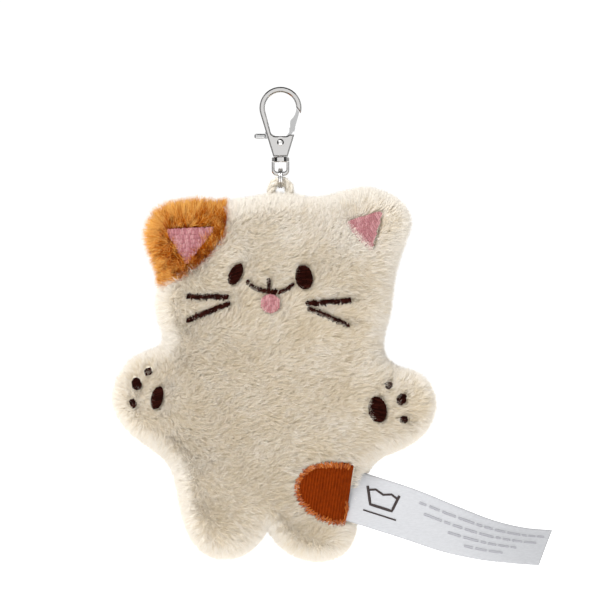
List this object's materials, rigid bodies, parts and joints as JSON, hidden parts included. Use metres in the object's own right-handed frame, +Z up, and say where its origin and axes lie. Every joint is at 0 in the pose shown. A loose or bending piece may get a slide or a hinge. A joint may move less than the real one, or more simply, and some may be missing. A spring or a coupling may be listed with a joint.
{
  "type": "plush keychain",
  "caption": "Flat plush cat with embroidered face and paws, hung by a cord loop and split ring from a swivel trigger clasp.",
  "frame": {"origin": "centre of the hook's round seat, where the clasp hangs on a ring, strap or bar", "axes": "+Z up with the toy hanging, +Y out of the back, so the face looks along -Y; +X to the right of the face as seen from the front"},
  "size_m": [0.1468, 0.0249, 0.1586],
  "materials": {
    "clasp_metal": "polished",
    "ring_steel": "polished",
    "spring_steel": "satin",
    "cord": "matte",
    "cream_plush": "matte",
    "orange_plush": "matte",
    "fibre_fill": "matte",
    "pink_thread": "satin",
    "dark_thread": "satin",
    "brown_patch": "matte",
    "orange_thread": "satin",
    "label_satin": "satin"
  },
  "bodies": {
    "clasp": {"clasp_body": "clasp_metal", "gate_rivet": "clasp_metal", "gate_spring": "spring_steel"},
    "gate": {"gate_lever": "clasp_metal"},
    "eye": {"swivel_eye": "clasp_metal"},
    "ring": {"split_ring": "ring_steel"},
    "plush": {"cord_loop": "cord", "front_panel": "cream_plush", "back_panel": "cream_plush", "ear_panel_front": "orange_plush", "ear_panel_back": "orange_plush", "stuffing": "fibre_fill", "ear_lining_left": "pink_thread", "ear_lining_right": "pink_thread", "tongue": "pink_thread", "eye_left": "dark_thread", "eye_right": "dark_thread", "nose_and_mouth": "dark_thread", "whiskers_left": "dark_thread", "whiskers_right": "dark_thread", "paw_pads_left": "dark_thread", "paw_pads_right": "dark_thread", "hip_patch": "brown_patch", "patch_border_stitching": "orange_thread"},
    "label": {"care_label": "label_satin"}
  },
  "joints": [
    {"name": "gate_hinge", "type": "hinge", "parent": "clasp", "child": "gate", "pos_m": [0, 0, -0.0115], "axis": [0, -1, 0], "range_deg": [0, 30], "stiffness_Nm_per_rad": 0.02, "springref_deg": -17.19},
    {"name": "swivel", "type": "hinge", "parent": "clasp", "child": "eye", "pos_m": [0, 0, -0.0165], "axis": [0, 0, 1], "continuous": true},
    {"name": "ring_swing", "type": "hinge", "parent": "eye", "child": "ring", "pos_m": [0, 0, -0.0219], "axis": [1, 0, 0], "range_deg": [-45, 45]},
    {"name": "plush_swing", "type": "hinge", "parent": "ring", "child": "plush", "pos_m": [0, 0, -0.0273], "axis": [0, 1, 0], "range_deg": [-45, 45]},
    {"name": "label_fold", "type": "hinge", "parent": "plush", "child": "label", "pos_m": [0.0252, -0.006, -0.13], "axis": [0.1635, 0, 0.9865], "range_deg": [-60, 60], "stiffness_Nm_per_rad": 0.0005}
  ]
}
